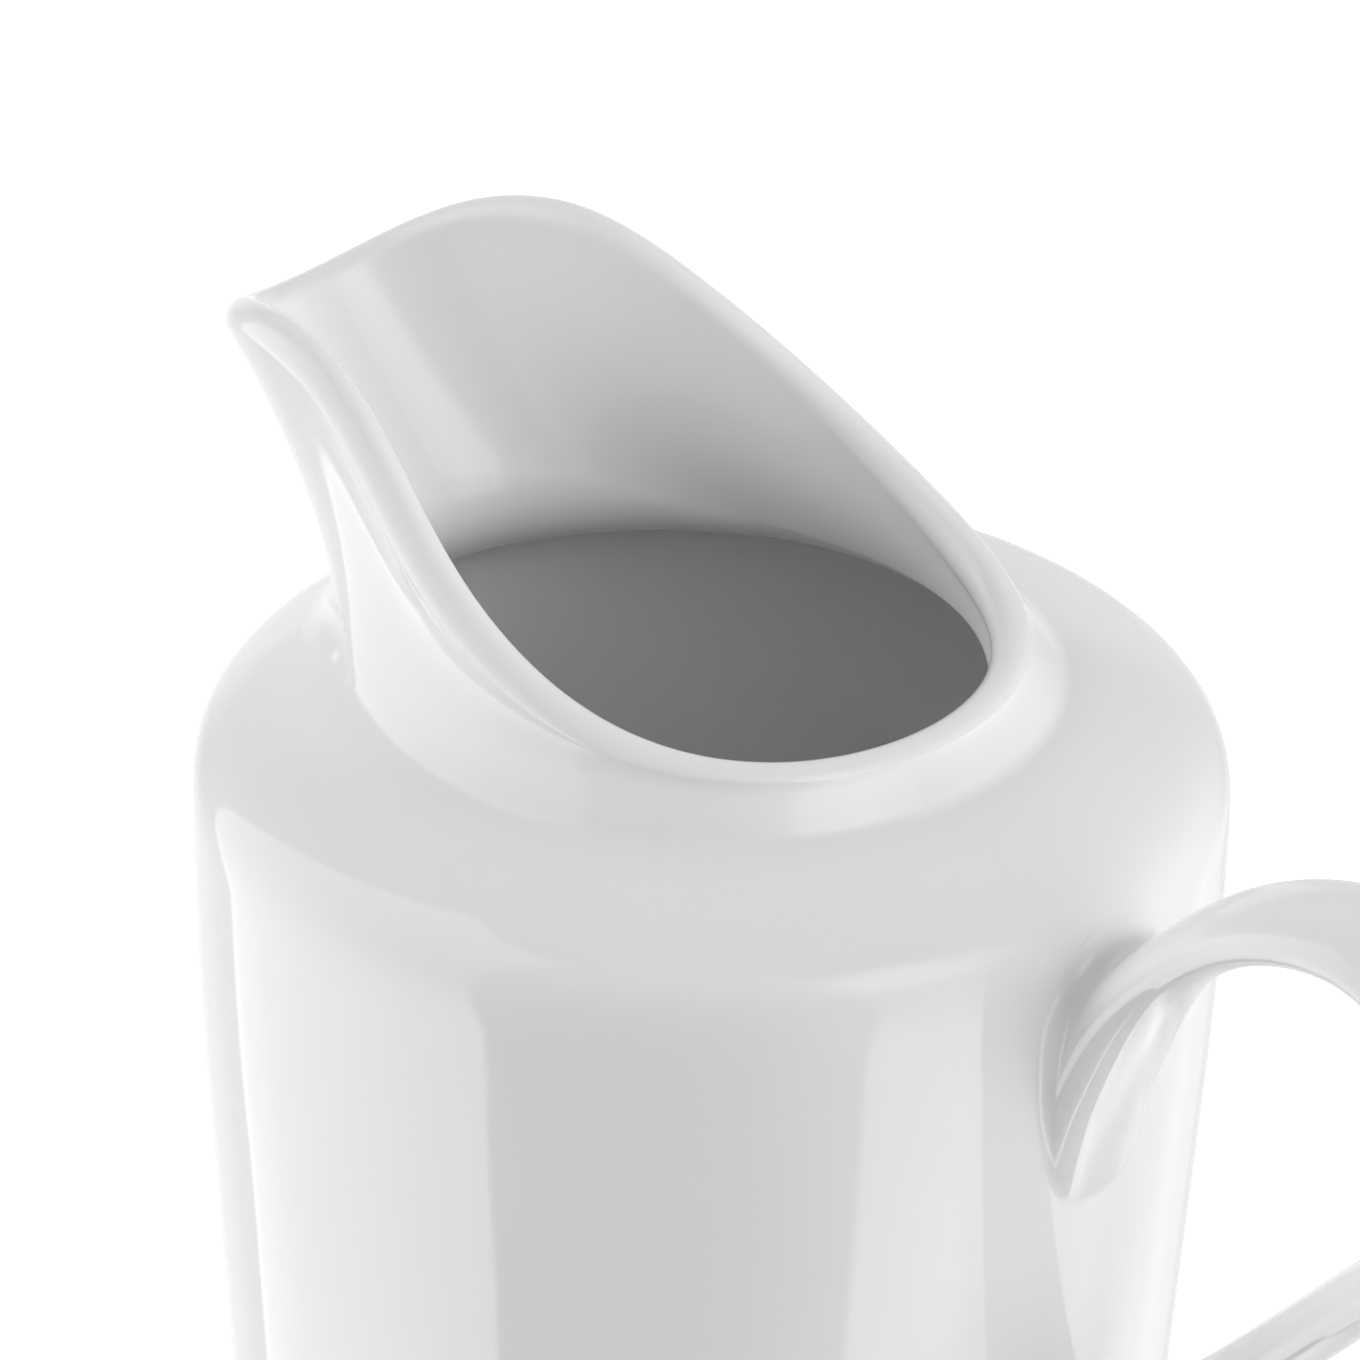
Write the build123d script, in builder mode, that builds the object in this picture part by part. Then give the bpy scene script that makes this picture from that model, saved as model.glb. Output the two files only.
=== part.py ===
from build123d import *
from math import cos, pi, radians, sin, sqrt, tan
import os

# White glazed porcelain pitcher: a slip-cast vessel whose neck runs up into a
# broad pouring lip, and a solid cast handle luted to its wall with slip.
# Millimetres. Z up, origin on the axis at the plane it stands on, spout along
# -X, handle along +X, mirror plane XZ.

# ---- vessel: body and shoulder ------------------------------------------------
body_radius = 50.0            # widest, just under the shoulder
shoulder_height = 115.0       # where the neck grows out of the shoulder
body_wall = 3.2
body_taper = 3.5              # degrees, below the eased stretch
taper_ease = 28.0             # height over which the taper sets in
# shoulder dome: share of the way out from neck_foot to body_radius,
# rise over shoulder_height, fall of the dome in degrees
shoulder_dome = [
    (0.285, -0.6, 20.5),
    (0.747, -4.5, 25.0),
    (0.949, -7.8, 57.0),
    (1.0, -14.5, 90.0),
]

# ---- vessel: base -------------------------------------------------------------
heel_radius = 7.0             # rounded edge between wall and base
floor_thickness = 4.2
inner_heel_radius = 6.0
foot_ring_height = 1.6
foot_ring_width = 3.2
foot_ring_inset = 6.0         # outside of the ring to the line of the wall
foot_ring_edge = 0.5

# ---- vessel: neck and spout ---------------------------------------------------
neck_wall = 3.5
neck_foot = 28.3              # radius at the shoulder, away from the spout
neck_draw = 0.25              # drawing in per millimetre of height
neck_splay = 0.016            # opening out again, growing with the height
keel_foot = 36.7              # front of the spout at the shoulder
keel_rake = 0.68              # its run forward per millimetre of height
keel_curl = 0.011             # and the growth of that run
nose_foot = 4.1               # sharpness of the spout's bump at the shoulder
nose_gain = 0.62              # growth of the sharpness per millimetre
neck_root_depth = 6.0         # how far the neck's wall reaches into the shoulder
dome_cover = 2.5              # how far the shoulder reaches in past the neck's wall
neck_root_fillet = 2.5        # concave, outside
throat_fillet = 2.0           # convex, inside, where neck and shoulder meet

# ---- vessel: rim, seen from the side, heights above the shoulder --------------
rim_back_height = 4.7         # over the handle
rim_back_run = 31.0           # from the axis, where the rim starts to climb
rim_back_pull = 39.2
crown_run = 38.2              # highest point, over the spout
crown_height = 29.8
crown_pull_back = 17.7
crown_pull_front = 10.9
lip_run = 60.0                # where the rim line leaves the lip
lip_height = 18.0
rim_rounding = 0.47           # share of the neck's wall, on both edges

# ---- handle -------------------------------------------------------------------
strap_width = 14.4
strap_thickness = 6.2
upper_root_width = 16.0       # where the strap leaves the wall
upper_root_thickness = 8.6
lower_root_width = 15.0       # where it comes back to the wall
lower_root_thickness = 6.8
upper_root_share = 0.22       # share of the length by which it has slimmed down
upper_blend_share = 0.12      # share over which it does so
lower_root_share = 0.28       # share of the length over which it grows again
slip_film = 0.4               # slip between the handle's feet and the wall
slip_spread = 0.8             # how far the squeezed slip shows round each foot
# middle line of the strap: outward from body_radius, height over the base,
# direction of travel in degrees; it starts and ends inside the wall
strap_route = [
    (-5.5, 75.0, 77.0),       # buried start of the upper foot
    (0.2, 94.5, 66.0),        # where it comes free of the wall
    (11.4, 110.0, 43.0),      # springing of the arch
    (28.8, 117.4, 0.0),       # crest
    (44.5, 101.2, -90.0),     # outermost
    (29.6, 78.5, -131.0),     # lower arm leaves the bend
    (-9.0, 35.8, -132.0),     # buried end of the lower foot
]

os.makedirs("parts", exist_ok=True)

widest_height = shoulder_height + shoulder_dome[-1][1]
eased_height = widest_height - taper_ease
above_everything = shoulder_height + crown_height + 4 * neck_wall


def shoulder_line(inset):
    """Points and directions of the shoulder dome, moved square to itself.

    Inside the neck the dome keeps on rising at the slope of its first point.
    """
    points = []
    directions = []
    span = body_radius - neck_foot
    out, rise, fall = shoulder_dome[0]
    hidden = out + (neck_wall / 2 + dome_cover) / span
    hidden_end = (out - hidden, rise + hidden * span * tan(radians(fall)), fall)
    for out, rise, fall in [hidden_end] + shoulder_dome:
        across = cos(radians(fall))
        down = sin(radians(fall))
        radius = neck_foot + out * span
        points.append((radius - inset * down, shoulder_height + rise - inset * across))
        directions.append((across, -down))
    return points, directions


def wall_line(height, inset):
    """Radius of the straight tapered wall at a height."""
    return body_radius - inset - tan(radians(body_taper)) * (taper_ease / 2 + eased_height - height)


def body_profile(inset, base_height):
    """Half section of shoulder, wall and flat base, moved inwards by inset."""
    dome, falls = shoulder_line(inset)
    eased = (wall_line(eased_height, inset), eased_height)
    base_edge = (wall_line(base_height, inset), base_height)
    with BuildSketch(Plane.XZ) as profile:
        with BuildLine():
            Line((0, base_height), (0, dome[0][1]))
            Line((0, dome[0][1]), dome[0])
            Spline(*dome, tangents=falls)
            Bezier(dome[-1], (dome[-1][0], widest_height - taper_ease / 2), eased)
            Line(eased, base_edge)
            Line(base_edge, (0, base_height))
        make_face()
    return profile.sketch


def neck_radius(angle, height):
    """Middle of the neck's wall: a round throat plus a bump towards the spout.

    The bump is a power of the raised cosine of the angle from the spout. The
    power grows with height, so that a broad swelling draws together into a
    channel as it rises.
    """
    throat = neck_foot - neck_draw * height + neck_splay * height**2
    keel = keel_foot + keel_rake * height + keel_curl * height**2
    sharpness = nose_foot + nose_gain * max(height, 0.0)
    return throat + (keel - throat) * ((1 + cos(angle)) / 2) ** sharpness


def neck_section(height, side):
    """Level curve of the neck's outer (side +1) or inner (side -1) face.

    Half a wall from the middle, stretched by the wall's lean and by its turn
    about the axis, so that the wall is equally thick square to itself.
    """
    step = 0.01
    points = []
    for k in range(section_points):
        angle = 2 * pi * k / section_points
        radius = neck_radius(angle, height)
        lean = (neck_radius(angle, height + step) - neck_radius(angle, height - step)) / (2 * step)
        turn = (neck_radius(angle + step, height) - neck_radius(angle - step, height)) / (2 * step)
        radius += side * neck_wall / 2 * sqrt(1 + lean**2 + (turn / radius) ** 2)
        points.append((-radius * cos(angle), radius * sin(angle)))
    return points


def neck_solid(side):
    """Level curves of one face of the neck, lofted upwards into a solid.

    The inner face runs higher than the outer, so that the room cuts through.
    """
    top = crown_height + (2 - side) * neck_wall
    with BuildPart() as neck:
        for share in section_shares:
            height = -neck_root_depth + share * (top + neck_root_depth)
            with BuildSketch(Plane.XY.offset(shoulder_height + height)):
                with BuildLine():
                    Spline(*neck_section(height, side), periodic=True)
                make_face()
        loft()
    return neck.part


def eased(share):
    """From 0 to 1 with level ends."""
    share = min(max(share, 0.0), 1.0)
    return share * share * (3 - 2 * share)


def strap_size(share):
    """Width and thickness of the strap at a share of its length."""
    upper = eased((upper_root_share - share) / upper_blend_share)
    lower = eased((share - 1 + lower_root_share) / lower_root_share)
    wider = upper * (upper_root_width - strap_width) + lower * (lower_root_width - strap_width)
    thicker = upper * (upper_root_thickness - strap_thickness)
    thicker += lower * (lower_root_thickness - strap_thickness)
    return strap_width + wider, strap_thickness + thicker


def strap_solid(spread):
    """The strap from buried end to buried end, its section grown by spread."""
    with BuildPart() as strap:
        for k in range(strap_sections + 1):
            share = k / strap_sections
            width, thickness = strap_size(share)
            place = Plane(strap_line @ share, x_dir=(0, 1, 0), z_dir=strap_line % share)
            with BuildSketch(place):
                Ellipse(width / 2 + spread, thickness / 2 + spread)
        sweep(path=strap_line, multisection=True)
    return strap.part


# ---- vessel -------------------------------------------------------------------
section_points = 60
section_shares = [0.0, 0.08, 0.15, 0.23, 0.33, 0.45, 0.58, 0.72, 0.86, 1.0]
outer_profile = body_profile(0.0, foot_ring_height)
inner_profile = body_profile(body_wall, foot_ring_height + floor_thickness)
ring_outer = wall_line(0.0, foot_ring_inset)

with BuildPart() as body_form:
    revolve(outer_profile, axis=Axis.Z)
    fillet(edges().group_by(Axis.Z)[0], heel_radius)
    # foot ring under the base
    with BuildSketch(Plane.XY.offset(foot_ring_height)):
        Circle(ring_outer)
        Circle(ring_outer - foot_ring_width, mode=Mode.SUBTRACT)
    extrude(amount=-foot_ring_height)
    fillet(edges().group_by(Axis.Z)[0], foot_ring_edge)

# the room inside body and neck
with BuildPart() as room:
    revolve(inner_profile, axis=Axis.Z)
    fillet(edges().group_by(Axis.Z)[0], inner_heel_radius)
    add(neck_solid(-1))
    fillet(edges(Select.NEW), throat_fillet)

# everything over the rim line, as seen from the side
rim_back = (rim_back_run, shoulder_height + rim_back_height)
crown = (-crown_run, shoulder_height + crown_height)
lip = (-lip_run, shoulder_height + lip_height)
with BuildPart() as above_rim:
    with BuildSketch(Plane.XZ):
        with BuildLine():
            Line((body_radius, rim_back[1]), rim_back)
            Bezier(
                rim_back,
                (rim_back[0] - rim_back_pull, rim_back[1]),
                (crown[0] + crown_pull_back, crown[1]),
                crown,
            )
            Bezier(crown, (crown[0] - crown_pull_front, crown[1]), lip)
            Polyline(
                lip,
                (-2 * lip_run, lip[1]),
                (-2 * lip_run, above_everything),
                (body_radius, above_everything),
                (body_radius, rim_back[1]),
            )
        make_face()
    extrude(amount=body_radius, both=True)

with BuildPart() as vessel:
    add(body_form.part)
    add(neck_solid(+1))
    fillet(edges(Select.NEW), neck_root_fillet)
    add(room.part, mode=Mode.SUBTRACT)
    add(above_rim.part, mode=Mode.SUBTRACT)
    fillet(edges(Select.NEW), rim_rounding * neck_wall)
vessel.part.label = "vessel"
export_step(vessel.part, "parts/vessel.step")

# ---- handle -------------------------------------------------------------------
strap_sections = 12
route_points = []
route_directions = []
for outward, height, heading in strap_route:
    route_points.append((body_radius + outward, 0, height))
    route_directions.append((cos(radians(heading)), 0, sin(radians(heading))))
strap_line = Spline(*route_points, tangents=route_directions)
slip_profile = body_profile(-slip_film, foot_ring_height)

# the two ends are coped to the wall, a slip film off it
with BuildPart() as handle:
    add(strap_solid(0.0))
    revolve(slip_profile, axis=Axis.Z, mode=Mode.SUBTRACT)
handle.part.label = "handle"
export_step(handle.part, "parts/handle.step")

# ---- slip joints --------------------------------------------------------------
# The slip that lutes each foot to the wall, squeezed out a little all round.
with BuildPart() as slip:
    add(strap_solid(slip_spread))
    revolve(slip_profile, axis=Axis.Z, mode=Mode.INTERSECT)
    add(body_form.part, mode=Mode.SUBTRACT)
lower_slip, upper_slip = slip.part.solids().sort_by(Axis.Z)

with BuildPart() as upper_slip_joint:
    add(upper_slip)
upper_slip_joint.part.label = "upper_slip_joint"
export_step(upper_slip_joint.part, "parts/upper_slip_joint.step")

with BuildPart() as lower_slip_joint:
    add(lower_slip)
lower_slip_joint.part.label = "lower_slip_joint"
export_step(lower_slip_joint.part, "parts/lower_slip_joint.step")
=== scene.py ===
import bpy
import numpy as np
from mathutils import Matrix, Vector


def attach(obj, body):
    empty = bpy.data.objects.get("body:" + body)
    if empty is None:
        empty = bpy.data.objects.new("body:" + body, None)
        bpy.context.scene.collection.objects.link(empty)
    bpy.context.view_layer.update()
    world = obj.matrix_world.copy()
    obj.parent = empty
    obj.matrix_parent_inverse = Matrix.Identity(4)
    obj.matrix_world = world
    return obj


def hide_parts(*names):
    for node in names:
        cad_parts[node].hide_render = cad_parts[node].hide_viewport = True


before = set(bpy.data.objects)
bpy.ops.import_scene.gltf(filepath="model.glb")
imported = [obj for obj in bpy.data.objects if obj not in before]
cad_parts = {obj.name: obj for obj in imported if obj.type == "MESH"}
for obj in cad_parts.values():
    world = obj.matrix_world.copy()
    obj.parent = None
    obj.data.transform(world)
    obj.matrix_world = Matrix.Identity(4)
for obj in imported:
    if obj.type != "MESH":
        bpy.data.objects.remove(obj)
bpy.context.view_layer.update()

# ---- vessel -------------------------------------------------------------------
# Body, shoulder, neck and spout are one hollow slip casting in white porcelain,
# glazed all over apart from the ring it stands on. Sizes are in millimetres, in
# the frame of the solids: Z up, spout along -X.
MM = 0.001
BODY_RADIUS = 49.95
SHOULDER_HEIGHT = 115.0
BODY_WALL = 3.2
BODY_TAPER = np.radians(3.5)
TAPER_EASE = 28.0
BODY_FAIRING = 0.9
# the shoulder's dome: radius, height over the shoulder plane, fall in degrees
DOME = [
    (24.05, 3.30, 20.5),
    (34.49, -0.6, 20.5),
    (44.51, -4.5, 25.0),
    (48.89, -7.8, 57.0),
    (BODY_RADIUS, -14.5, 90.0),
]
HEEL_RADIUS = 7.0
INNER_HEEL_RADIUS = 6.0
FLOOR_THICKNESS = 4.2
FOOT_HEIGHT = 1.6
FOOT_WIDTH = 3.2
FOOT_INSET = 6.0
FOOT_EDGE = 0.5
FOOT_HOLLOW = 0.7
FOOT_LAND = 0.5
FLOOR_RINGS = (30.0, 20.0, 10.0, 3.0, 0.0)

# the middle of the neck's wall, by its height over the shoulder plane
THROAT_RADIUS = 22.11
THROAT_LEAN = 0.389
FLARE = 9.47
FLARE_DEPTH = 5.01
FLARE_STRAIGHT = 2.0
INNER_FLARE_DROP = 2.2
SPOUT_REACH = 37.75
SPOUT_LEAN = 0.744
SPOUT_BOW = 0.005
CHANNEL_POWER = 4.14
CHANNEL_POWER_RISE = 0.62
CHANNEL_FOOT_POWER = 3.0
CHANNEL_FOOT_LEVEL = -1.0
CHANNEL_FOOT_DEPTH = 3.0
NECK_HALF_WALL = 1.75
# the rounded corners between neck and shoulder: all around, and below the spout
CREASE_RADIUS = 3.0
SPOUT_CREASE_RADIUS = 5.5
THROAT_EDGE_RADIUS = 3.0
SPOUT_THROAT_RADIUS = 7.5

# the rim seen from the side: its collar at the back, its crest and its lip
COLLAR = np.array([31.0, 2.6])
COLLAR_ARM = np.array([39.2, 0.0])
CREST = np.array([-38.2, 27.45])
CREST_BACK_ARM = np.array([17.7, 0.0])
CREST_FRONT_ARM = np.array([7.2, 0.0])
LIP = np.array([-57.5, 17.3])
LIP_ARM = np.array([5.6, 6.7])
RIM_RADIUS = 2.1

COLUMNS = 280
BODY_ROWS = 90
NECK_ROWS = 44
CREASE_ROWS = 16
THROAT_ROWS = 14
RIM_ROWS = 19
LINE_STEP = 0.1
SHARP_ANGLE = np.radians(35)
bearings = np.linspace(0, 2 * np.pi, COLUMNS, endpoint=False)
outward = np.stack([-np.cos(bearings), -np.sin(bearings)], -1)


def unit(vectors):
    """The vectors, each divided by its length."""
    return vectors / np.linalg.norm(vectors, axis=-1, keepdims=True)


def to_spout(angle):
    """1 at the spout and 0 at the handle: the cosine, raised and halved."""
    return (1 + np.cos(angle)) / 2


def neck_middle(angle, height, flare_drop):
    """Radius of the middle of the neck's wall, by the angle from the spout.

    A throat that widens with the height, plus a flare that grows exponentially
    towards the shoulder and ends in a straight cone, plus a bump towards the
    spout: a power of the raised cosine. The power grows with the height, and
    again at the shoulder, and so draws the bump together into a channel.
    """
    above = np.maximum(height + flare_drop, FLARE_STRAIGHT)
    cone = 1 + (above - height - flare_drop) / FLARE_DEPTH
    throat = THROAT_RADIUS + FLARE * np.exp(-above / FLARE_DEPTH) * cone + THROAT_LEAN * height
    keel = SPOUT_REACH + SPOUT_LEAN * height + SPOUT_BOW * height**2
    over_foot = np.maximum(height - CHANNEL_FOOT_LEVEL, 0)
    foot_power = CHANNEL_FOOT_POWER * np.exp(-over_foot / CHANNEL_FOOT_DEPTH)
    power = CHANNEL_POWER + CHANNEL_POWER_RISE * np.maximum(height, 0.0) + foot_power
    return throat + (keel - throat) * to_spout(angle) ** power


def neck_face(angle, height, offset, flare_drop=0.0):
    """Point on the neck, offset square to the middle of its wall.

    The middle is (-r cos a, -r sin a, h); the two partial derivatives, taken
    over a small step, give its normal.
    """
    def middle(a, h):
        r = neck_middle(a, h, flare_drop)
        return np.stack([-r * np.cos(a), -r * np.sin(a), h + SHOULDER_HEIGHT], -1)

    step = 1e-3
    around = middle(angle + step, height) - middle(angle - step, height)
    upward = middle(angle, height + step) - middle(angle, height - step)
    return middle(angle, height) + unit(np.cross(around, upward)) * np.asarray(offset)[..., None]


def arc(centre, radius, start, end, count):
    """Points on a circle from one angle to another, in degrees."""
    a = np.radians(np.linspace(start, end, count))
    return np.stack([centre[0] + radius * np.cos(a), centre[1] + radius * np.sin(a)], -1)


def bezier(p0, p1, p2, p3, count):
    """Cubic Bezier: each control point weighted by its Bernstein polynomial."""
    t = np.linspace(0, 1, count)[:, None]
    return (1 - t) ** 3 * p0 + 3 * t * (1 - t) ** 2 * p1 + 3 * t**2 * (1 - t) * p2 + t**3 * p3


def through(points, headings, count=60):
    """Smooth line through points with a heading at each, in degrees.

    Each stretch is a cubic Bezier whose two inner points lie a third of the
    chord along the headings.
    """
    points = np.array(points, float)
    turns = np.radians(headings)
    ways = np.stack([np.cos(turns), np.sin(turns)], -1)
    line = []
    for start, end, leaving, arriving in zip(points, points[1:], ways, ways[1:]):
        third = np.linalg.norm(end - start) / 3
        line.append(bezier(start, start + third * leaving, end - third * arriving, end, count)[:-1])
    return np.concatenate(line + [points[-1:]])


def evened(line):
    """The same line with its points evenly spaced, one step apart."""
    run = np.concatenate([[0], np.cumsum(np.linalg.norm(np.diff(line, axis=0), axis=1))])
    even = np.linspace(0, run[-1], int(run[-1] / LINE_STEP) + 2)
    return np.stack([np.interp(even, run, line[:, k]) for k in range(line.shape[1])], -1)


def faired(line, spread):
    """The line with its heading smoothed by a Gaussian along its length.

    The heading is averaged, summed up again into a line, and the small drift
    of its far end is shared out evenly.
    """
    line = evened(line)
    chords = np.diff(line, axis=0)
    length = np.linalg.norm(chords, axis=1)
    heading = np.unwrap(np.arctan2(chords[:, 1], chords[:, 0]))
    reach = int(4 * spread / LINE_STEP)
    weights = np.exp(-0.5 * (np.arange(-reach, reach + 1) * LINE_STEP / spread) ** 2)
    padded = np.concatenate([np.full(reach, heading[0]), heading, np.full(reach, heading[-1])])
    smooth = np.convolve(padded, weights / weights.sum(), "valid")
    steps = length[:, None] * np.stack([np.cos(smooth), np.sin(smooth)], -1)
    fair = line[0] + np.concatenate([[[0, 0]], np.cumsum(steps, 0)])
    return fair + np.linspace(0, 1, len(fair))[:, None] * (line[-1] - fair[-1])


def wall_line(height, inset):
    """Radius of the straight tapered wall, moved inwards by the inset."""
    ease_end = SHOULDER_HEIGHT + DOME[-1][1] - TAPER_EASE
    return BODY_RADIUS - inset - np.tan(BODY_TAPER) * (TAPER_EASE / 2 + ease_end - height)


def body_line(inset, floor, turn_radius):
    """Meridian from the hidden top of the dome down to the edge of the floor.

    Shoulder dome, eased stretch, straight wall and a round corner, all moved
    inwards by the inset, then faired.
    """
    radius, height, fall = np.array(DOME).T
    normal = np.radians(fall)
    dome_radius = radius - inset * np.sin(normal)
    dome_height = SHOULDER_HEIGHT + height - inset * np.cos(normal)
    dome = through(np.stack([dome_radius, dome_height], -1), -fall)
    # the eased stretch bends from upright to the taper about its middle
    widest = dome[-1]
    ease_end = np.array([0.0, SHOULDER_HEIGHT + DOME[-1][1] - TAPER_EASE])
    ease_end[0] = wall_line(ease_end[1], inset)
    bend = widest - np.array([0.0, TAPER_EASE / 2])
    top_arm = (bend - widest) * 2 / 3
    end_arm = (bend - ease_end) * 2 / 3
    ease = bezier(widest, widest + top_arm, ease_end + end_arm, ease_end, 60)
    # the corner's circle touches the floor and the leaning wall
    centre_height = floor + turn_radius
    centre = (wall_line(centre_height, inset) - turn_radius / np.cos(BODY_TAPER), centre_height)
    turn = arc(centre, turn_radius, -np.degrees(BODY_TAPER), -90, 40)
    return faired(np.concatenate([dome[:-1], ease[:-1], turn]), BODY_FAIRING)


def at_index(line, index):
    """Points of a line at fractional indices."""
    i = np.arange(len(line))
    return np.stack([np.interp(index, i, line[:, 0]), np.interp(index, i, line[:, 1])], -1)


def conic(start, corner, end, count):
    """Rows that round off a corner: a rational quadratic from start to end.

    It is an arc of a circle when both are equally far from the corner. The
    rows crowd towards both ends.
    """
    u = (1 - np.cos(np.linspace(0, np.pi, count))) / 2
    u = u.reshape((-1,) + (1,) * start.ndim)
    cosine = (unit(start - corner) * unit(end - corner)).sum(-1)
    weight = np.sqrt(np.clip((1 - cosine) / 2, 0, 1))[..., None]
    total = (1 - u) ** 2 + 2 * weight * u * (1 - u) + u**2
    return ((1 - u) ** 2 * start + 2 * weight * u * (1 - u) * corner + u**2 * end) / total


def crossing(values):
    """Fractional row of the first change of sign down each column."""
    sign = values > 0
    row = np.argmax(sign[1:] != sign[:-1], 0)
    column = np.arange(values.shape[1])
    return row + values[row, column] / (values[row, column] - values[row + 1, column])


def turned(profile):
    """Rows from a meridian of (radius, height), or from one for each column.

    Each point goes out along its column's bearing by its radius.
    """
    profile = np.asarray(profile)
    if profile.ndim == 2:
        profile = np.repeat(profile[:, None], COLUMNS, 1)
    return np.concatenate([profile[..., :1] * outward, profile[..., 1:]], -1)


def flat(points):
    """Radius and height of points."""
    return np.stack([np.hypot(points[..., 0], points[..., 1]), points[..., 2]], -1)


def neck_skin(side, flare_drop, body, radius, count):
    """One face of the neck, outside (1) or inside (-1), rounded into the body.

    The face is followed down past the body's line. Their crossing is the
    corner, and the rounding ends a tangent's length from it on either side:
    the radius times the tangent of half the bend. Gives the neck's rows from
    the bottom up to the rim, the corner, the rounding's rows and the index in
    the body's line at which it ends.
    """
    falling = np.linspace(6, -5, 400)
    column = np.arange(COLUMNS)
    face = neck_face(*np.broadcast_arrays(bearings, falling[:, None]), side * NECK_HALF_WALL, flare_drop)
    section = flat(face)
    dome = body[: np.argmax(body[:, 0]) + 1]
    row = crossing(section[..., 1] - np.interp(section[..., 0], dome[:, 0], dome[:, 1]))
    low = np.floor(row).astype(int)
    part = (row - low)[:, None]
    corner = face[low, column] * (1 - part) + face[low + 1, column] * part

    up = unit(face[np.maximum(low - 2, 0), column] - corner)
    index = np.interp(flat(corner)[:, 0], dome[:, 0], np.arange(len(dome)))
    ahead = unit(at_index(dome, index + 3) - at_index(dome, index - 3))
    down = np.concatenate([ahead[:, :1] * unit(corner[:, :2]), ahead[:, 1:]], -1)
    bend = np.arccos(np.clip(-(up * down).sum(-1), -1, 1))
    reach = radius * np.tan(bend / 2)

    end = index + reach / LINE_STEP
    bottom = np.interp(row, np.arange(len(falling)), falling) + reach * up[:, 2]
    rise = np.linspace(0, 1, NECK_ROWS)[:, None]
    heights = bottom + (rim_height - bottom) * rise
    half_wall = NECK_HALF_WALL + (RIM_RADIUS - NECK_HALF_WALL) * rise**6
    rows = neck_face(bearings[None], heights, side * half_wall, flare_drop * (1 - rise))
    return rows, corner, conic(turned(at_index(body, end)[None])[0], corner, rows[0], count), end


def body_rows(body, start):
    """Rows from an index in each column of the body's line down to its end."""
    share = np.linspace(0, 1, BODY_ROWS)[1:, None]
    return turned(at_index(body, start + (len(body) - 1 - start) * share))


def placed(name, data):
    """A new object in the scene."""
    item = bpy.data.objects.new(name, data)
    bpy.context.scene.collection.objects.link(item)
    return item


def skin(name, rows, poles=False, ring=False):
    """A closed surface from rows of points, each row closed on itself.

    Quads join neighbouring rows. With poles, the first and last rows are one
    point each, joined by a fan; a ring joins its last row back to its first.
    Faces are turned to point outwards.
    """
    rows = np.asarray(rows) * MM
    ends = [rows[0, 0], rows[-1, 0]] if poles else []
    if poles:
        rows = rows[1:-1]
    count, width = rows.shape[:2]
    points = np.concatenate([rows.reshape(-1, 3), np.reshape(ends, (-1, 3))])
    row, column = np.meshgrid(np.arange(count if ring else count - 1), np.arange(width), indexing="ij")
    here, above = row * width, (row + 1) % count * width
    beside = (column + 1) % width
    quads = np.stack([here + column, here + beside, above + beside, above + column], -1).reshape(-1, 4)
    fans = np.empty((0, 3), int)
    if poles:
        column, beside = column[0], beside[0]
        pole = np.full(width, count * width)
        last_row = (count - 1) * width
        fans = np.concatenate([
            np.stack([pole, beside, column], -1),
            np.stack([pole + 1, last_row + column, last_row + beside], -1),
        ])
    corners = points[np.concatenate([quads[:, [0, 1, 2]], quads[:, [0, 2, 3]], fans])]
    if np.einsum("ij,ij->i", corners[:, 0], np.cross(corners[:, 1], corners[:, 2])).sum() < 0:
        quads, fans = quads[:, ::-1], fans[:, ::-1]
    mesh = bpy.data.meshes.new(name)
    mesh.from_pydata(points.tolist(), [], quads.tolist() + fans.tolist())
    mesh.shade_smooth()
    mesh.set_sharp_from_angle(angle=SHARP_ANGLE)
    mesh.update()
    return placed(name, mesh)


# the height at which each bearing meets the rim's line, which runs on level
# behind the collar
collar_to_crest = bezier(COLLAR, COLLAR - COLLAR_ARM, CREST + CREST_BACK_ARM, CREST, 200)
crest_to_lip = bezier(CREST, CREST - CREST_FRONT_ARM, LIP + LIP_ARM, LIP, 80)
behind = [(BODY_RADIUS, COLLAR[1])]
rim_line = np.concatenate([behind, collar_to_crest, crest_to_lip[1:]])[::-1]
tall = np.linspace(-1, 32, 500)[:, None]
middle_x = -neck_middle(bearings[None], tall, 0.0) * np.cos(bearings[None])
level = crossing(tall - np.interp(middle_x, rim_line[:, 0], rim_line[:, 1]))
rim_height = np.interp(level, np.arange(len(tall)), tall[:, 0])

# both faces, with the crease outside and the throat's lower edge inside
inner_floor = FOOT_HEIGHT + FLOOR_THICKNESS
outer_body = body_line(0.0, FOOT_HEIGHT, HEEL_RADIUS)
inner_body = body_line(BODY_WALL, inner_floor, INNER_HEEL_RADIUS)
crease_radius = CREASE_RADIUS + (SPOUT_CREASE_RADIUS - CREASE_RADIUS) * to_spout(bearings) ** 5
throat_radius = THROAT_EDGE_RADIUS + (SPOUT_THROAT_RADIUS - THROAT_EDGE_RADIUS) * to_spout(bearings)
outer_neck, crease_line, crease, crease_end = neck_skin(1, 0.0, outer_body, crease_radius, CREASE_ROWS)
inner_neck, throat_line, throat_edge, throat_end = neck_skin(
    -1, INNER_FLARE_DROP, inner_body, throat_radius, THROAT_ROWS
)

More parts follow.
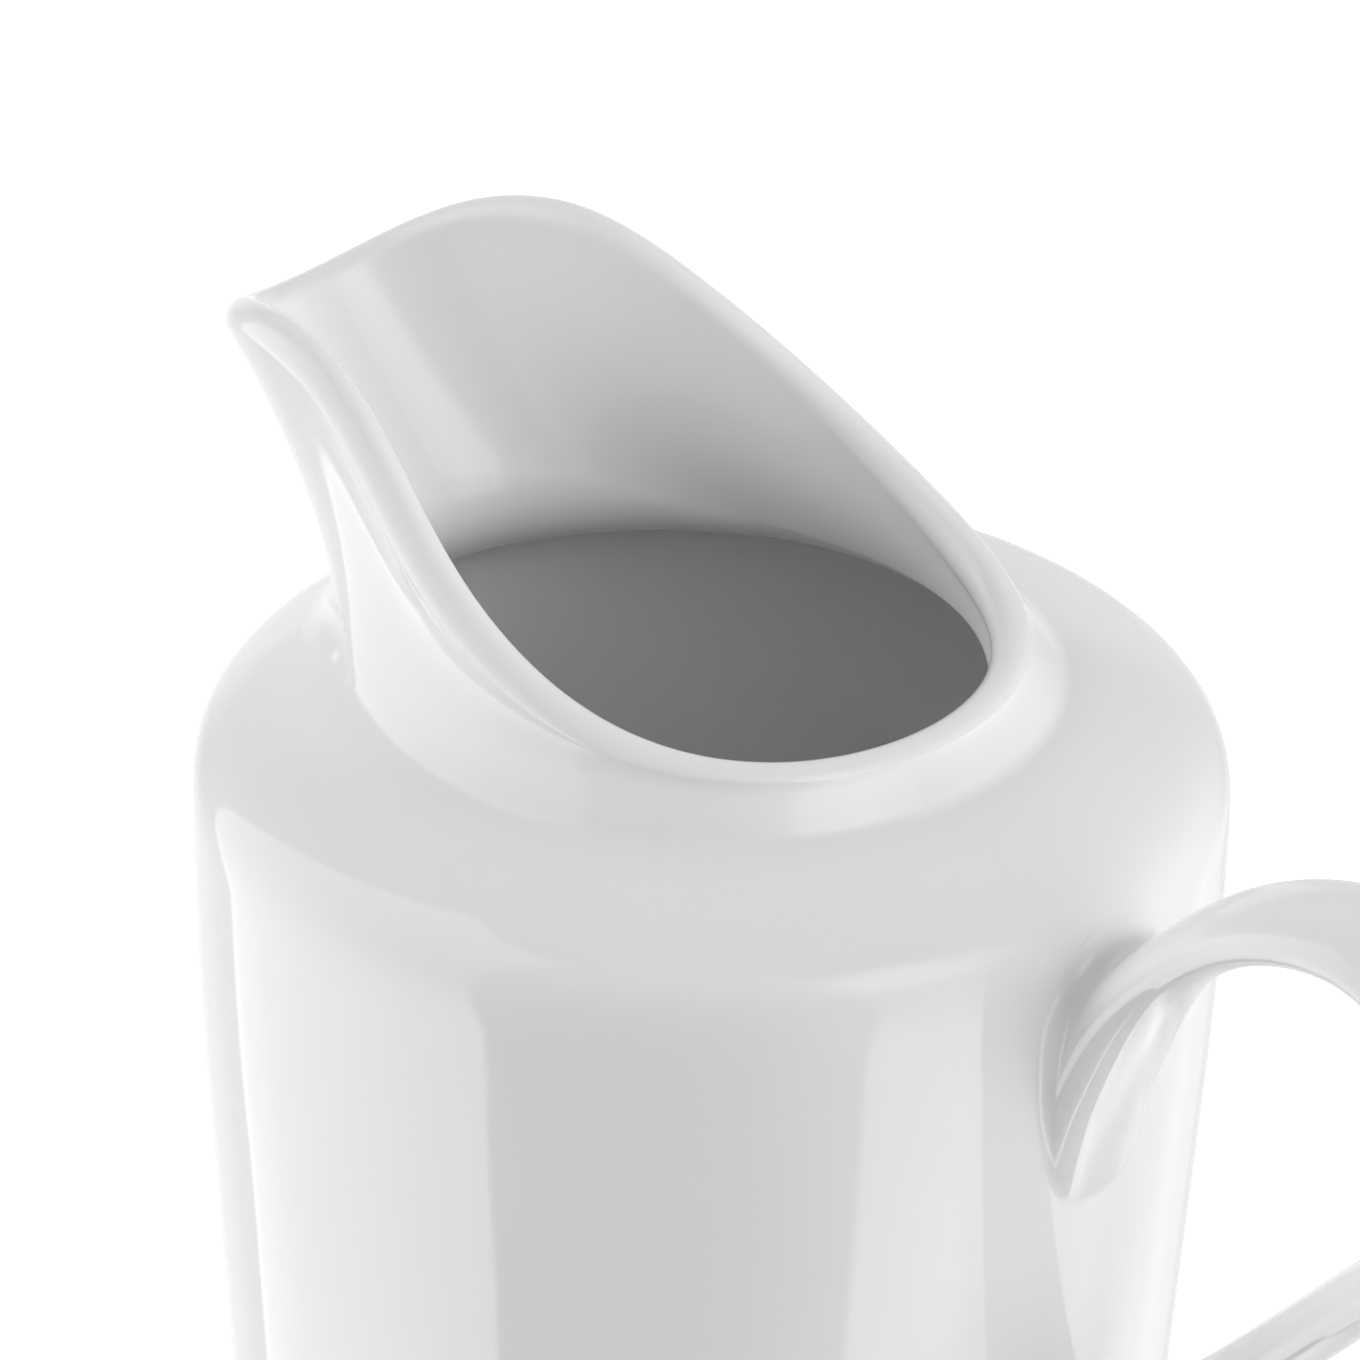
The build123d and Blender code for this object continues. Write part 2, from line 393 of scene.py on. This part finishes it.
# the rounded rim: half a tube about the rim's middle line
rim_middle = neck_face(bearings, rim_height, 0.0)
rim_side = unit(outer_neck[-1] - rim_middle)
rim_top = unit(np.cross(np.roll(rim_middle, -1, 0) - np.roll(rim_middle, 1, 0), rim_side))
rim_top *= np.sign(rim_top[:, 2:])
half_turn = np.linspace(0, np.pi, RIM_ROWS)[1:-1, None, None]
rim = rim_middle + RIM_RADIUS * (rim_side * np.cos(half_turn) + rim_top * np.sin(half_turn))

# the foot ring, with a hollow corner on either side, and the floor inside
ring_out = wall_line(0.0, FOOT_INSET)
ring_in = ring_out - FOOT_WIDTH
hollow_height = FOOT_HEIGHT - FOOT_HOLLOW
foot = np.concatenate([
    [(ring_out + FOOT_HOLLOW + FOOT_LAND, FOOT_HEIGHT)],
    arc((ring_out + FOOT_HOLLOW, hollow_height), FOOT_HOLLOW, 90, 180, 8),
    arc((ring_out - FOOT_EDGE, FOOT_EDGE), FOOT_EDGE, 0, -90, 8),
    arc((ring_in + FOOT_EDGE, FOOT_EDGE), FOOT_EDGE, -90, -180, 8),
    arc((ring_in - FOOT_HOLLOW, hollow_height), FOOT_HOLLOW, 0, 90, 8),
    [(radius, FOOT_HEIGHT) for radius in FLOOR_RINGS],
])
vessel = skin("vessel_casting", np.concatenate([
    turned(foot)[::-1],
    body_rows(outer_body, crease_end)[::-1],
    crease,
    outer_neck[1:],
    rim,
    inner_neck[::-1],
    throat_edge[::-1][1:],
    body_rows(inner_body, throat_end),
    turned([(radius, inner_floor) for radius in FLOOR_RINGS]),
]), poles=True)
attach(vessel, "root")
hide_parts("vessel")

# glaze and clay: linear colours, noise scales per metre
GLAZE_WHITE = (0.890, 0.874, 0.878, 1)
GLAZE_CLOUDED = (0.876, 0.860, 0.865, 1)
# the third colour is painted shade: a darker glaze laid where shade falls in the creases, the throat, the
# foot's hollows and around the handle's feet
GLAZE_SHADED = (0.852, 0.846, 0.848, 1)
CLAY = (0.8, 0.77, 0.72, 1)
CLAY_SPECK = (0.7, 0.66, 0.6, 1)
GLOSS = (0.03, 0.06)
CLAY_ROUGHNESS = 0.8
PEEL_SCALE = 700.0
GRAIN_SCALE = 2600.0
CLOUD_SCALE = 55.0
VESSEL_WAVES = 26.0
HANDLE_WAVES = 38.0
WAVE_DEPTH = 0.06 * MM
# heights of the finer noises, as shares of the waves'
PEEL_SHARE = 0.008
GRAIN_SHARE = 0.5
GLAZE_IOR = 1.52
# painted shade: its reach from the creases, then its strength, reach and top in the foot's hollows, in
# millimetres
SHADE_REACH = 3.0
FOOT_SHADE = 0.7
FOOT_SHADE_REACH = 1.2
FOOT_SHADE_TOP = 4.0
BARE_BELOW = 0.35 * MM
BARE_EDGE = 0.1 * MM


def points_of(piece):
    """The piece's points in millimetres, in the order of its mesh."""
    numbers = np.empty(len(piece.data.vertices) * 3, np.float32)
    piece.data.vertices.foreach_get("co", numbers)
    return numbers.reshape(-1, 3) / MM


def near_line(points, line):
    """1 on a closed line of points, falling to 0 like a bell."""
    gap = np.linalg.norm(points[:, None] - line[None, ::4], axis=-1).min(1)
    return np.exp(-((gap / SHADE_REACH) ** 2))


def marked(piece, painted_shade):
    """Stores on each point how much painted shade darkens the glaze there, 0 to 1."""
    layer = piece.data.attributes.new("painted_shade", "FLOAT", "POINT")
    layer.data.foreach_set("value", np.clip(painted_shade, 0, 1).astype(np.float32))


# painted shade: darker in both creases of the neck, and less in the hollows of the foot
vessel_points = points_of(vessel)
foot_height = vessel_points[:, 2]
foot_shade = FOOT_SHADE * np.exp(-(((foot_height - FOOT_HEIGHT) / FOOT_SHADE_REACH) ** 2))
foot_shade *= foot_height < FOOT_SHADE_TOP
marked(vessel, near_line(vessel_points, crease_line) + near_line(vessel_points, throat_line) + foot_shade)


def node(tree, kind, **settings):
    """New shader node with its properties set."""
    made = tree.nodes.new(kind)
    for key, value in settings.items():
        setattr(made, key, value)
    return made


def put(tree, socket, value):
    """Feeds an input: a socket is linked, anything else is its value."""
    if isinstance(value, bpy.types.NodeSocket):
        tree.links.new(value, socket)
    else:
        socket.default_value = value


def set_inputs(tree, target, **values):
    """Feeds a node's inputs by name."""
    for key, value in values.items():
        put(tree, target.inputs[key.replace("_", " ")], value)


def math(tree, operation, a, b=0.0):
    """Result of one Math node on sockets or numbers."""
    made = node(tree, "ShaderNodeMath", operation=operation)
    put(tree, made.inputs[0], a)
    put(tree, made.inputs[1], b)
    return made.outputs[0]


def glaze_group():
    """Glaze over white porcelain, as colour, roughness and height.

    Colour: the glaze, clouded a little by broad noise, darkened by painted shade
    in the creases, and bare clay where the glaze was wiped off. Roughness: glossy
    with faint clouding, matt on the clay. Height: the long waves of a dipped
    glaze, a fine orange peel, and grain on the clay.
    """
    group = bpy.data.node_groups.new("porcelain_glaze", "ShaderNodeTree")
    for name, kind, value in [
        ("Glaze", "NodeSocketColor", GLAZE_WHITE),
        ("Clouded", "NodeSocketColor", GLAZE_CLOUDED),
        ("Pooled", "NodeSocketColor", GLAZE_SHADED),
        ("Clay", "NodeSocketColor", CLAY),
        ("Pool", "NodeSocketFloat", 0.0),
        ("Bare", "NodeSocketFloat", 0.0),
        ("Wave Scale", "NodeSocketFloat", VESSEL_WAVES),
    ]:
        group.interface.new_socket(name, in_out="INPUT", socket_type=kind).default_value = value
    for name, kind in [
        ("Color", "NodeSocketColor"),
        ("Roughness", "NodeSocketFloat"),
        ("Height", "NodeSocketFloat"),
    ]:
        group.interface.new_socket(name, in_out="OUTPUT", socket_type=kind)
    given = node(group, "NodeGroupInput").outputs
    place = node(group, "ShaderNodeTexCoord").outputs["Object"]

    def noise(scale, detail, roughness=0.5):
        """Fractal noise on the piece's own coordinates."""
        made = node(group, "ShaderNodeTexNoise")
        set_inputs(group, made, Vector=place, Scale=scale, Detail=detail, Roughness=roughness)
        return made.outputs["Fac"]

    def blend(factor, a, b, kind="RGBA"):
        """From a to b by the factor, as colours or as numbers."""
        mix = node(group, "ShaderNodeMix", data_type=kind)
        put(group, mix.inputs["Factor"], factor)
        ends = [socket for socket in mix.inputs if socket.enabled and socket.name in "AB"]
        for socket, value in zip(ends, (a, b)):
            put(group, socket, value)
        return [socket for socket in mix.outputs if socket.enabled][0]

    waves = noise(given["Wave Scale"], 1.0, 0.4)
    peel = noise(PEEL_SCALE, 1.0)
    grain = noise(GRAIN_SCALE, 3.0)
    clouds = noise(CLOUD_SCALE, 3.0, 0.55)
    color = blend(clouds, given["Glaze"], given["Clouded"])
    # painted shade: the glaze turns to a darker colour where shade is stored on the points
    color = blend(given["Pool"], color, given["Pooled"])
    color = blend(given["Bare"], color, blend(grain, given["Clay"], CLAY_SPECK))
    rough = blend(given["Bare"], blend(clouds, *GLOSS, "FLOAT"), CLAY_ROUGHNESS, "FLOAT")
    smooth = math(group, "ADD", waves, math(group, "MULTIPLY", peel, PEEL_SHARE))
    grained = math(group, "ADD", smooth, math(group, "MULTIPLY", grain, GRAIN_SHARE))
    height = blend(given["Bare"], smooth, grained, "FLOAT")
    set_inputs(group, node(group, "NodeGroupOutput"), Color=color, Roughness=rough, Height=height)
    return group


porcelain_glaze = glaze_group()


def new_material(name):
    """A material, its tree and its Principled BSDF."""
    material = bpy.data.materials.new(name)
    material.use_nodes = True
    return material, material.node_tree, material.node_tree.nodes["Principled BSDF"]


def glaze(name, wave_scale, bare_below=None):
    """Glossy white glaze; below a height the clay is left bare."""
    material, tree, shader = new_material(name)
    surface = node(tree, "ShaderNodeGroup", node_tree=porcelain_glaze)
    # the point attribute holds painted shade, which darkens the glaze colour
    painted_shade = node(tree, "ShaderNodeAttribute", attribute_name="painted_shade")
    set_inputs(
        tree, surface, Glaze=GLAZE_WHITE, Clouded=GLAZE_CLOUDED, Pooled=GLAZE_SHADED, Clay=CLAY,
        Pool=painted_shade.outputs["Fac"], Wave_Scale=wave_scale,
    )
    if bare_below:
        place = node(tree, "ShaderNodeSeparateXYZ")
        set_inputs(tree, place, Vector=node(tree, "ShaderNodeTexCoord").outputs["Object"])
        edge = node(tree, "ShaderNodeMapRange")
        set_inputs(
            tree, edge, Value=place.outputs["Z"],
            From_Min=bare_below + BARE_EDGE, From_Max=bare_below - BARE_EDGE,
        )
        set_inputs(tree, surface, Bare=edge.outputs["Result"])
    bump = node(tree, "ShaderNodeBump")
    set_inputs(tree, bump, Height=surface.outputs["Height"], Distance=WAVE_DEPTH, Strength=1.0)
    set_inputs(
        tree, shader, Base_Color=surface.outputs["Color"], Roughness=surface.outputs["Roughness"],
        Normal=bump.outputs["Normal"], IOR=GLAZE_IOR,
    )
    return material


vessel.data.materials.append(glaze("vessel_glaze", VESSEL_WAVES, BARE_BELOW))

# ---- handle -------------------------------------------------------------------
# A solid strap cast in the same porcelain, bent over in an arch and run down to
# the wall again. Its feet are cut to the wall's curve before it is fixed.
STRAP_WIDTH = 14.4
STRAP_THICKNESS = 6.2
UPPER_ROOT_WIDTH = 16.0
UPPER_ROOT_THICKNESS = 8.6
LOWER_ROOT_WIDTH = 15.0
LOWER_ROOT_THICKNESS = 6.8
# power of the section, 2 for an ellipse: along the strap and at its roots
STRAP_POWER = 2.0
UPPER_ROOT_POWER = 2.5
LOWER_ROOT_POWER = 2.2
# shares of the strap's length over which it grows into its roots
UPPER_ROOT_ENDS = 0.22
UPPER_ROOT_SPAN = 0.12
LOWER_ROOT_STARTS = 0.72
LOWER_ROOT_SPAN = 0.28
# the strap's middle seen from the side, and its heading in degrees at each point
STRAP_ROUTE = [
    (44.5, 75.0), (50.2, 94.5), (61.4, 110.0), (78.8, 117.4), (94.5, 101.2), (79.6, 78.5), (41.0, 35.8),
]
STRAP_HEADING = [77.0, 66.0, 43.0, 0.0, -90.0, -131.0, -132.0]
SLIP_RADIUS = 1.6
SLIP_REACH = (0.5, 5.0)
LONGEST_SLIP = 9.0
SLIP_FAIRING = 3.0
SUNK = 0.3
SUNK_DEPTH = 0.4
AROUND = 96
STRAP_ROWS = 150
CROWDING = 0.3
STRAP_FAIRING = 1.5
strap_line = faired(through(STRAP_ROUTE, STRAP_HEADING), STRAP_FAIRING)
side = np.linspace(0, 2 * np.pi, AROUND, endpoint=False)


def wall_radius(height):
    """Radius of the body's outside at a height."""
    return np.interp(height, outer_body[::-1, 1], outer_body[::-1, 0])


def eased(t):
    """0 to 1 with level ends: 3t^2 - 2t^3."""
    t = np.clip(t, 0, 1)
    return t * t * (3 - 2 * t)


def strap(share, side):
    """Point of the strap's surface, at a share of its length.

    A superellipse square to the strap's line, whose x and y are the cosine and
    the sine to a power; it grows wider, thicker and squarer towards both ends.
    """
    upper = eased((UPPER_ROOT_ENDS - share) / UPPER_ROOT_SPAN)
    lower = eased((share - LOWER_ROOT_STARTS) / LOWER_ROOT_SPAN)

    def grown(along, at_upper, at_lower):
        return along + (at_upper - along) * upper + (at_lower - along) * lower

    width = grown(STRAP_WIDTH, UPPER_ROOT_WIDTH, LOWER_ROOT_WIDTH)
    thickness = grown(STRAP_THICKNESS, UPPER_ROOT_THICKNESS, LOWER_ROOT_THICKNESS)
    power = 2 / grown(STRAP_POWER, UPPER_ROOT_POWER, LOWER_ROOT_POWER)
    outwards = thickness / 2 * np.sign(np.cos(side)) * np.abs(np.cos(side)) ** power
    across = width / 2 * np.sign(np.sin(side)) * np.abs(np.sin(side)) ** power

    last = len(strap_line) - 1
    line = at_index(strap_line, share * last)
    ahead = unit(at_index(strap_line, (share + 1e-3) * last) - at_index(strap_line, (share - 1e-3) * last))
    x = line[..., 0] - ahead[..., 1] * outwards
    z = line[..., 1] + ahead[..., 0] * outwards
    return np.stack([x, across, z], -1)


def smoothed(values, spread):
    """Values around a closed row, averaged by a Gaussian."""
    gap = np.minimum(np.arange(len(values)), len(values) - np.arange(len(values)))
    weights = np.exp(-0.5 * (gap / spread) ** 2)
    return np.real(np.fft.ifft(np.fft.fft(values) * np.fft.fft(weights / weights.sum())))


def foot_fit(shares):
    """Where the strap meets the wall, and the fillet of slip around it.

    Each line along the strap is followed to the wall. The fillet starts on the
    strap and ends on the wall, both a tangent's length from the crossing.
    Gives the crossing, the share of the strap's length at which the fillet
    starts, the row where it ends and the wall's normal.
    """
    shares = shares[:, None]
    surface = flat(strap(np.repeat(shares, AROUND, 1), side[None]))
    row = crossing(surface[..., 0] - wall_radius(surface[..., 1]))
    meet = np.interp(row, np.arange(len(shares)), shares[:, 0])
    contact = strap(meet, side)
    arm = contact - contact.mean(0)

    step = shares[0, 0] - shares[1, 0]
    stride = strap(meet + step, side) - contact
    per_share = np.linalg.norm(stride, axis=-1) / abs(step)
    along = unit(stride)
    around = unit(np.roll(contact, -1, 0) - np.roll(contact, 1, 0))
    slope = wall_radius(contact[:, 2:] + 0.5) - wall_radius(contact[:, 2:] - 0.5)
    wall_normal = unit(np.concatenate([unit(contact[:, :2]), -slope], -1))
    strap_normal = unit(np.cross(along, around))
    strap_normal *= np.sign((strap_normal * arm).sum(-1, keepdims=True))
    away = np.cross(wall_normal, around)
    away *= np.sign((away * arm).sum(-1, keepdims=True))

    bend = np.arccos(np.clip((strap_normal * wall_normal).sum(-1), -1, 1))
    reach = smoothed(np.clip(SLIP_RADIUS * np.tan(bend / 2), *SLIP_REACH), SLIP_FAIRING)
    slant = (along * around).sum(-1)
    up_strap = np.clip(reach / np.sqrt(1 - slant**2), 0, LONGEST_SLIP)
    start_share = meet + np.sign(step) * up_strap / per_share
    on_wall = contact + away * reach[:, None]
    on_wall[:, :2] = unit(on_wall[:, :2]) * wall_radius(on_wall[:, 2:])
    return contact, start_share, on_wall, wall_normal


def shrunk(points, by):
    """The closed row of points drawn towards its middle."""
    middle = points.mean(0)
    arm = points - middle
    return middle + arm * (1 - by / np.linalg.norm(arm, axis=-1, keepdims=True))


def sunk_end(start_row, contact, normal):
    """Rows that take the strap's end under its fillet and into the wall."""
    inside = shrunk(contact, SUNK) - SUNK_DEPTH * normal
    return [shrunk(start_row, SUNK), inside, np.repeat(inside.mean(0)[None], AROUND, 0)]


# each foot is looked for from the strap's middle towards its end, and the rows
# crowd towards both feet
upper_contact, upper_start, upper_wall, upper_normal = foot_fit(np.linspace(0.42, 0.01, 500))
lower_contact, lower_start, lower_wall, lower_normal = foot_fit(np.linspace(0.6, 0.99, 500))
even = np.linspace(0, 1, STRAP_ROWS)[:, None]
crowded = (1 - CROWDING) * even + CROWDING * (1 - np.cos(np.pi * even)) / 2
strap_rows = strap(upper_start + (lower_start - upper_start) * crowded, side[None])
handle = skin("handle_strap", np.concatenate([
    sunk_end(strap_rows[0], upper_contact, upper_normal)[::-1],
    strap_rows,
    sunk_end(strap_rows[-1], lower_contact, lower_normal),
]), poles=True)
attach(handle, "root")
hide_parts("handle")
handle_points = points_of(handle)
# painted shade: the glaze darkens towards both feet of the strap, where they meet the wall
marked(handle, near_line(handle_points, upper_contact) + near_line(handle_points, lower_contact))
handle_glaze = glaze("handle_glaze", HANDLE_WAVES)
handle.data.materials.append(handle_glaze)

# ---- slip joints --------------------------------------------------------------
# Slip lutes each foot to the wall; smoothed off and glazed over, it shows as a
# soft hollow fillet around the foot.
SLIP_ROWS = 24
SLIP_DEPTH = 0.5
SLIP_INSET = 0.6
SLIP_TOP_INSET = 0.4
for name, joint, start_row, contact, wall_row, normal in [
    ("upper_slip_fillet", "upper_slip_joint", strap_rows[0], upper_contact, upper_wall, upper_normal),
    ("lower_slip_fillet", "lower_slip_joint", strap_rows[-1], lower_contact, lower_wall, lower_normal),
]:
    fillet = conic(start_row, contact, wall_row, SLIP_ROWS)
    into_wall = SLIP_DEPTH * normal
    under = shrunk(contact, SLIP_INSET) - into_wall
    hidden = [wall_row - into_wall, under, shrunk(start_row, SLIP_TOP_INSET)]
    piece = skin(name, np.concatenate([fillet, hidden]), ring=True)
    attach(piece, "root")
    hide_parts(joint)
    # painted shade: the glaze darkens towards where the strap meets the wall
    marked(piece, near_line(points_of(piece), contact))
    piece.data.materials.append(handle_glaze)

# ---- studio -------------------------------------------------------------------
# A white paper floor under an even white sky, with broad soft lamps to the left
# and right. The glaze mirrors a room of pale panels, laid out by their direction
# as seen from the object, with the camera straight ahead. Lengths are in metres.
CAMERA_BEARING = np.radians(41.4)
CAMERA_RISE = np.radians(29.3)
CAMERA_DISTANCE = 0.725
CAMERA_ROLL = np.radians(1.11)
FOCAL_LENGTH = 200.9
SENSOR_WIDTH = 36
NEAREST_SEEN = 0.01
SHOULDER = Vector((0, 0, SHOULDER_HEIGHT * MM))
AIM_LEFT = 0.0032
AIM_DOWN = 0.001635
FLOOR_HALF = 3.0
FLOOR_LEVEL = -0.1 * MM
FLOOR_LIFT = 0.55
PAPER = (0.8, 0.8, 0.8, 1)
PAPER_ROUGHNESS = 0.6
SKY_STRENGTH = 0.15
LAMP_SPREAD = np.radians(60)

upright = Vector((0, 0, 1))
ahead_way = Vector((np.sin(CAMERA_BEARING), -np.cos(CAMERA_BEARING), 0))
right_way = Vector((np.cos(CAMERA_BEARING), np.sin(CAMERA_BEARING), 0))
camera_way = ahead_way * np.cos(CAMERA_RISE) + upright * np.sin(CAMERA_RISE)
camera_up = camera_way.cross(right_way)


def mixed(tree, share, first, second):
    """Two shaders mixed by a share."""
    mix = node(tree, "ShaderNodeMixShader")
    for socket, value in zip(mix.inputs, (share, first, second)):
        put(tree, socket, value)
    return mix.outputs[0]


floor_mesh = bpy.data.meshes.new("floor")
square = [(-1, -1), (1, -1), (1, 1), (-1, 1)]
floor_mesh.from_pydata([(x * FLOOR_HALF, y * FLOOR_HALF, FLOOR_LEVEL) for x, y in square], [], [(0, 1, 2, 3)])
floor = placed("floor", floor_mesh)
floor_material, tree, paper = new_material("floor_white")
set_inputs(tree, paper, Base_Color=PAPER, Roughness=PAPER_ROUGHNESS)
# the camera sees the paper lifted to white, with the shadow kept; reflections
# look past it into the studio
lift = node(tree, "ShaderNodeEmission")
set_inputs(tree, lift, Strength=FLOOR_LIFT)
lifted = node(tree, "ShaderNodeAddShader")
put(tree, lifted.inputs[0], paper.outputs[0])
put(tree, lifted.inputs[1], lift.outputs[0])
paths = node(tree, "ShaderNodeLightPath").outputs
seen = mixed(tree, paths["Is Camera Ray"], paper.outputs[0], lifted.outputs[0])
clear = node(tree, "ShaderNodeBsdfTransparent").outputs[0]
floor_surface = mixed(tree, paths["Is Glossy Ray"], seen, clear)
set_inputs(tree, tree.nodes["Material Output"], Surface=floor_surface)
floor_mesh.materials.append(floor_material)

world = bpy.data.worlds.new("studio")
bpy.context.scene.world = world
world.use_nodes = True
sky = world.node_tree
looking = node(sky, "ShaderNodeTexCoord").outputs["Generated"]


def share_along(way):
    """Share of the looking direction that runs along a way."""
    made = node(sky, "ShaderNodeVectorMath", operation="DOT_PRODUCT")
    put(sky, made.inputs[0], looking)
    put(sky, made.inputs[1], way)
    return made.outputs["Value"]


def ramp(value, start, end, low=0.0, high=1.0):
    """Eased change from low at start to high at end."""
    made = node(sky, "ShaderNodeMapRange", interpolation_type="SMOOTHSTEP")
    set_inputs(sky, made, Value=value, From_Min=start, From_Max=end, To_Min=low, To_Max=high)
    return made.outputs["Result"]


def background(strength):
    """White light of a strength."""
    made = node(sky, "ShaderNodeBackground")
    set_inputs(sky, made, Color=(1, 1, 1, 1), Strength=strength)
    return made.outputs[0]


azimuth = math(sky, "DEGREES", math(sky, "ARCTAN2", share_along(right_way), share_along(ahead_way)))
height = math(sky, "DEGREES", math(sky, "ARCSINE", share_along(upright)))
# the outer edge of the left panel leans over towards its top
leaning = math(sky, "ADD", azimuth, ramp(height, -35, 62, 0.0, -14.0))
# brightness, then the edges as (direction, dark side, bright side) in degrees
PANELS = [
    (0.25, []),
    (0.10, [(height, 0, -45)]),
    # the dark front, between the two panels
    (0.34, [(azimuth, -49, -45), (azimuth, 36, 30), (height, 10, 60)]),
    (0.45, [(azimuth, 5, 34), (azimuth, 37, 34), (height, 66, 63)]),
    # left panel, brighter low down
    (0.72, [(leaning, -132.5, -130.5), (azimuth, -48, -51), (height, 66.5, 65)]),
    (0.20, [(azimuth, -100, -70), (azimuth, -48, -51), (height, 20, 50), (height, 66.5, 65)]),
    (0.35, [(leaning, -132.5, -130.5), (azimuth, -70, -110), (height, -25, 20), (height, 67, 63)]),
    (0.75, [(leaning, -132.5, -130.5), (azimuth, -48, -51), (height, 15, -40)]),
    (0.80, [(azimuth, -118, -70), (azimuth, -48, -51), (height, 15, -40)]),
    (0.55, [(azimuth, -160, -143), (azimuth, -128, -133), (height, -5, -35)]),
    # right panel, brightest along its near edge, with a window in it
    (1.30, [(azimuth, 34, 37), (azimuth, 72, 58), (height, 63, 61)]),
    (0.95, [(azimuth, 34, 37), (azimuth, 72, 58), (height, 0, -40)]),
    (0.25, [(azimuth, 58, 72), (azimuth, 115, 100), (height, 64, 60)]),
    (1.00, [(azimuth, 58, 72), (azimuth, 115, 100), (height, 0, -40)]),
    (0.90, [(azimuth, 29, 32), (azimuth, 80, 77), (height, 28, 31), (height, 56, 53)]),
    (0.40, [(azimuth, 100, 115), (azimuth, 150, 130), (height, -10, -40)]),
    (1.00, [(azimuth, 66, 76), (azimuth, 155, 140), (height, -46, -53)]),
    # behind the object
    (0.40, [(azimuth, -140, -165), (height, 60, 40)]),
    (0.25, [(azimuth, 150, 170), (height, 60, 40)]),
    (0.35, [(azimuth, -140, -160), (height, 12, 6)]),
    (0.30, [(azimuth, 148, 165), (height, 16, 8)]),
    (0.50, [(azimuth, 130, 142), (azimuth, 162, 152), (height, -15, -30)]),
]
room = 0.0
for brightness, edges in PANELS:
    for edge in edges:
        brightness = math(sky, "MULTIPLY", ramp(*edge), brightness)
    room = math(sky, "ADD", brightness, room)

# the sky lights evenly, is mirrored as the room and is plain white behind
paths = node(sky, "ShaderNodeLightPath").outputs
mirrored = mixed(sky, paths["Is Glossy Ray"], background(SKY_STRENGTH), background(room))
shown = mixed(sky, paths["Is Camera Ray"], mirrored, background(1.0))
set_inputs(sky, sky.nodes["World Output"], Surface=shown)

# soft lamps: bearing from the camera's side and rise in degrees, strength
for name, bearing, rise, strength in [
    ("light_left", -80, 25, 0.76),
    ("light_left_back", -110, 20, 1.58),
    ("light_front", 25, 45, 0.62),
    ("light_right", 70, 8, 1.58),
    ("light_right_back", 110, 20, 1.34),
]:
    light = bpy.data.lights.new(name, "SUN")
    light.angle = LAMP_SPREAD
    light.energy = strength
    lamp = placed(name, light)
    turn, climb = np.radians((bearing, rise))
    level_way = ahead_way * np.cos(turn) + right_way * np.sin(turn)
    lamp_way = level_way * np.cos(climb) + upright * np.sin(climb)
    lamp.rotation_euler = lamp_way.to_track_quat("Z", "Y").to_euler()
    lamp.visible_glossy = False

# camera: a long lens that looks down at the shoulder, rolled by about a degree
camera_data = bpy.data.cameras.new("camera")
camera_data.lens = FOCAL_LENGTH
camera_data.sensor_width = SENSOR_WIDTH
camera_data.clip_start = NEAREST_SEEN
camera = placed("camera", camera_data)
place = SHOULDER + camera_way * CAMERA_DISTANCE
back_way = (place - SHOULDER + right_way * AIM_LEFT + camera_up * AIM_DOWN).normalized()
level_side = upright.cross(back_way).normalized()
side_way = level_side * np.cos(CAMERA_ROLL) + back_way.cross(level_side) * np.sin(CAMERA_ROLL)
rotation = Matrix((side_way, back_way.cross(side_way), back_way)).transposed()
camera.matrix_world = Matrix.Translation(place) @ rotation.to_4x4()
bpy.context.scene.camera = camera
bpy.context.scene.view_settings.view_transform = "Standard"
